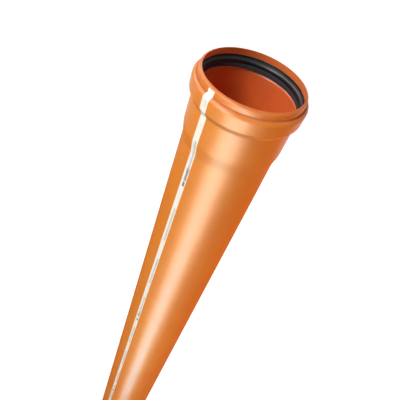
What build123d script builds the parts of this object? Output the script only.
from build123d import *
import os

# A drain pipe for sewers laid in the ground: one length of extruded PVC-U pipe standing on its
# spigot end, with a ring-seal socket formed at the top and a rubber lip seal seated in its groove.
# The origin is the centre of the spigot's end face, and +Z runs along the pipe, out of the socket.

# Barrel
outside_diameter = 315.0
wall = 7.7
effective_length = 3000.0  # from the spigot's end to the foot of the socket's parallel bore
chamfer_length = 15.0  # of the spigot's lead-in, along the pipe
chamfer_depth = 4.0  # taken off the wall by the lead-in

# Socket
socket_depth = 198.0  # from the mouth to the foot of the parallel bore
spigot_clearance = 0.7  # radial gap between a spigot and the socket's bore
socket_wall = 7.2
taper_length = 44.0  # between the socket and the barrel
taper_rounding = 60.0  # where the taper meets the socket and the barrel
mouth_land = 1.0  # width of the flat ring on the mouth's inner edge
mouth_slope = 3.2  # how much lower than it the mouth's outer edge lies
mouth_rounding = 4.0  # on the outer edge

# Collar between the mouth and the seal's groove, wider at the groove than at the mouth
collar_flare = 4.0  # radial growth of the bore from the mouth to the groove
collar_spread = 2.6  # radial growth outside, from the mouth's outer edge to the neck
neck_length = 8.0  # of the narrowing between the collar and the crease
neck_depth = 0.7  # how much the neck narrows, on the radius
notch_depth = 22.0  # from the mouth to the crease outside, where the bulge begins

# Seal groove, and the bulge that it makes outside
groove_top_depth = 23.5  # from the mouth to the groove's upper edge
groove_bottom_depth = 67.0  # from the mouth to the groove's flat lower side
groove_recess = 14.6  # how far the groove reaches outside the socket's bore
groove_shoulder = 18.0  # of the groove's rounded upper side, along the pipe
shoulder_length = 15.0  # of the bulge's rounded upper side, along the pipe
bulge_draft = 1.2  # how much narrower the bulge is at its lower edge
bulge_drop = 6.0  # of the bulge's lower edge below the groove's flat lower side
bulge_foot = 19.5  # of the cone between that edge and the socket's wall, along the pipe
groove_corner = 4.0  # bevel of the groove's lower corner
groove_lip = 4.0  # width of the bevel below the groove
groove_lip_length = 6.0  # of that bevel, along the pipe

# Lip seal
seal_gap = 0.3  # between the seal's back and the groove
bead_radius = 10.5  # of the fat round bead
bead_lift = 26.4  # of the bead's centre above the groove's lower side
bead_interference = 3.5  # how much smaller than a spigot the bead's crest is, on the radius
bead_start = 104.0  # degrees, where the bead's round comes out of the flange above it
bead_turn = 100.0  # degrees from there round to the waist
waist_depth = 2.0  # of the hollow between the bead and the lip, outside the bead's crest
waist_lift = 18.0  # of the hollow above the groove's lower side
lip_interference = 4.0  # how much smaller than a spigot the free lip is, on the radius
lip_land = 5.0  # length of the lip's cylinder, which grips a spigot
lip_thickness = 4.0
lip_lift = 4.5  # of the lip above the groove's lower side
undercut_width = 5.0  # of the hollow behind the lip
undercut_height = 10.0

# Radii and heights that follow from these sizes
barrel_radius = outside_diameter / 2
barrel_bore = barrel_radius - wall
socket_bore = barrel_radius + spigot_clearance
socket_radius = socket_bore + socket_wall
taper_foot = effective_length - taper_length
mouth_height = effective_length + socket_depth
notch_height = mouth_height - notch_depth
neck_top_radius = socket_radius + collar_spread
notch_radius = neck_top_radius - neck_depth
groove_top = mouth_height - groove_top_depth
groove_bottom = mouth_height - groove_bottom_depth
collar_bore = socket_bore + collar_flare
groove_radius = socket_bore + groove_recess
bulge_radius = groove_radius + socket_wall
bulge_bottom = groove_bottom - bulge_drop
seal_radius = groove_radius - seal_gap
seal_top = groove_top - seal_gap
bead_crest = barrel_radius - bead_interference
bead_centre = (bead_crest + bead_radius, groove_bottom + bead_lift)
lip_radius = barrel_radius - lip_interference
lip_tip = groove_bottom + lip_lift
lip_back = lip_radius + lip_thickness
waist_radius = bead_crest + waist_depth
heel_radius = lip_back + undercut_width


def near(point):
    """Selects the profile's corner at a point (radius, height)."""
    return lambda corner: abs(corner.X - point[0]) < 0.01 and abs(corner.Y - point[1]) < 0.01


# Pipe: barrel, taper, socket, bulge and collar, one belled wall turned about the axis
with BuildPart() as pipe:
    with BuildSketch(Plane.XZ) as wall_section:
        with BuildLine():
            outside = Polyline(
                (barrel_bore, 0),
                (barrel_radius - chamfer_depth, 0),
                (barrel_radius, chamfer_length),
                (barrel_radius, taper_foot),
                (socket_radius, effective_length),
                (socket_radius, bulge_bottom - bulge_foot),
                (bulge_radius - bulge_draft, bulge_bottom),
                (bulge_radius, notch_height - shoulder_length),
            )
            TangentArc(outside @ 1, (notch_radius, notch_height), tangent=(0, 1))
            collar = Polyline(
                (notch_radius, notch_height),
                (neck_top_radius, notch_height + neck_length),
                (socket_radius, mouth_height - mouth_slope),
                (socket_bore + mouth_land, mouth_height),
                (socket_bore, mouth_height),
                (collar_bore, groove_top),
            )
            TangentArc(
                (groove_radius, groove_top - groove_shoulder),
                collar @ 1,
                tangent=(0, 1),
            )
            Polyline(
                (groove_radius, groove_top - groove_shoulder),
                (groove_radius, groove_bottom),
                (socket_bore + groove_lip, groove_bottom),
                (socket_bore, groove_bottom - groove_lip_length),
                (socket_bore, effective_length),
                (barrel_bore, taper_foot),
                (barrel_bore, 0),
            )
        make_face()
        for corner, radius in [
            ((socket_radius, mouth_height - mouth_slope), mouth_rounding),
            ((barrel_radius, taper_foot), taper_rounding),
            ((socket_radius, effective_length), taper_rounding),
            ((socket_bore, effective_length), taper_rounding),
            ((barrel_bore, taper_foot), taper_rounding),
        ]:
            fillet(wall_section.vertices().filter_by(near(corner)), radius)
        chamfer(
            wall_section.vertices().filter_by(near((groove_radius, groove_bottom))),
            groove_corner,
        )
    revolve(axis=Axis.Z)
pipe.part.label = "pipe"


# Seal ring: a flange under the collar, a fat round bead and a hollow waist above a thin lip, which
# is undercut from below, on a heel that stands in the groove
with BuildPart() as seal_ring:
    with BuildSketch(Plane.XZ) as seal_section:
        with BuildLine():
            bead = CenterArc(bead_centre, bead_radius, bead_start, bead_turn)
            Polyline(
                bead @ 1,
                (waist_radius, groove_bottom + waist_lift),
                (lip_radius, lip_tip + lip_land),
                (lip_radius, lip_tip),
                (lip_back, lip_tip),
                (heel_radius, lip_tip + undercut_height),
                (heel_radius, groove_bottom),
                (seal_radius, groove_bottom),
                (seal_radius, seal_top - groove_shoulder),
                ((bead @ 0).X, seal_top),
                bead @ 0,
            )
        make_face()
        chamfer(
            seal_section.vertices().filter_by(near((seal_radius, groove_bottom))),
            groove_corner + seal_gap,
        )
    revolve(axis=Axis.Z)
seal_ring.part.label = "seal_ring"


os.makedirs("parts", exist_ok=True)
export_step(pipe.part, "parts/pipe.step")
export_step(seal_ring.part, "parts/seal_ring.step")
